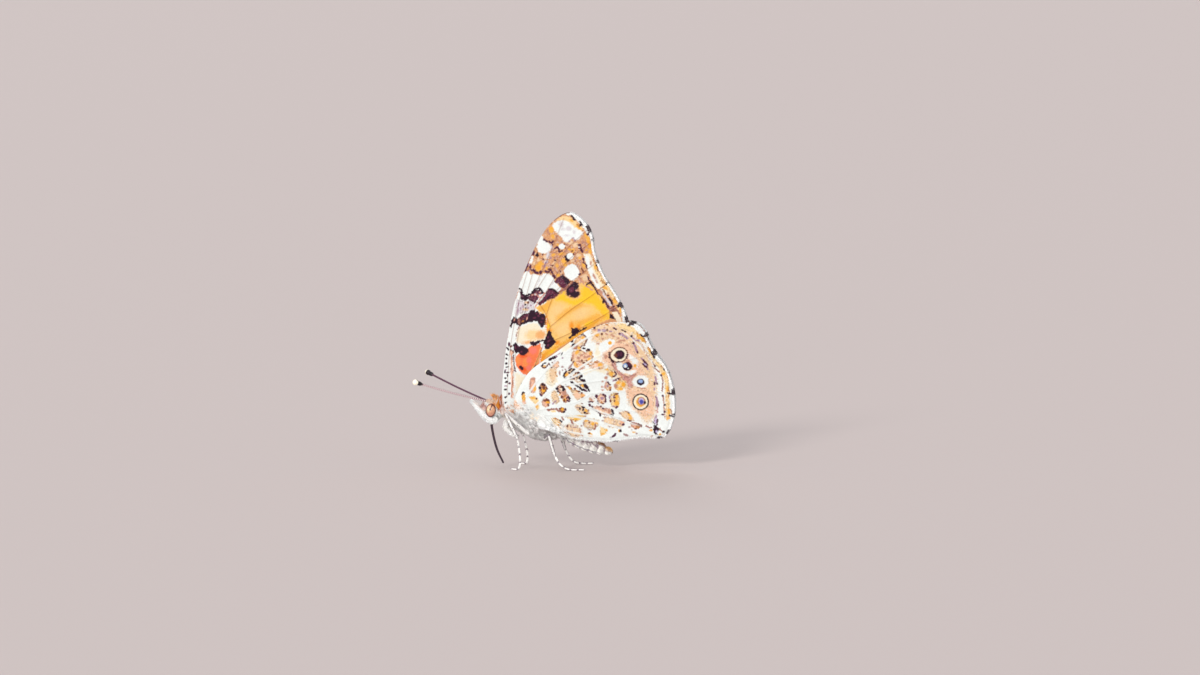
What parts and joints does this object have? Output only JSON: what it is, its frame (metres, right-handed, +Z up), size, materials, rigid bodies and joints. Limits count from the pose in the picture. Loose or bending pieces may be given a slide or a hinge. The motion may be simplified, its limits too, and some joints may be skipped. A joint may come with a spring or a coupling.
{
  "type": "painted lady butterfly",
  "caption": "Butterfly standing with its patterned wings closed upright over its back, antennae spread forward and proboscis lowered.",
  "frame": {"origin": "centre of the overall box, on the floor that the feet stand on", "axes": "+Z up; the head points to -X, the left side faces -Y and the wings stand upright in the XZ plane"},
  "size_m": [0.0376, 0.0166, 0.0373],
  "materials": {
    "hair": "soft hair",
    "abdomen": "soft scales",
    "eye": "smooth",
    "palp": "soft hair",
    "proboscis": "smooth",
    "antenna": "matt",
    "forewing": "matt scales",
    "hindwing": "matt scales",
    "leg": "matt"
  },
  "bodies": {
    "root": {"head": "hair", "thorax": "hair", "abdomen": "abdomen", "eye_left": "eye", "eye_right": "eye", "palp_left": "palp", "palp_right": "palp", "proboscis": "proboscis", "antenna_left": "antenna", "antenna_right": "antenna", "forewing_left": "forewing", "forewing_right": "forewing", "hindwing_left": "hindwing", "hindwing_right": "hindwing", "foreleg_left": "leg", "foreleg_right": "leg", "mid_leg_left_femur": "leg", "mid_leg_left_tibia": "leg", "mid_leg_left_tarsus": "leg", "mid_leg_right_femur": "leg", "mid_leg_right_tibia": "leg", "mid_leg_right_tarsus": "leg", "hind_leg_left_femur": "leg", "hind_leg_left_tibia": "leg", "hind_leg_left_tarsus": "leg", "hind_leg_right_femur": "leg", "hind_leg_right_tibia": "leg", "hind_leg_right_tarsus": "leg"}
  },
  "joints": []
}
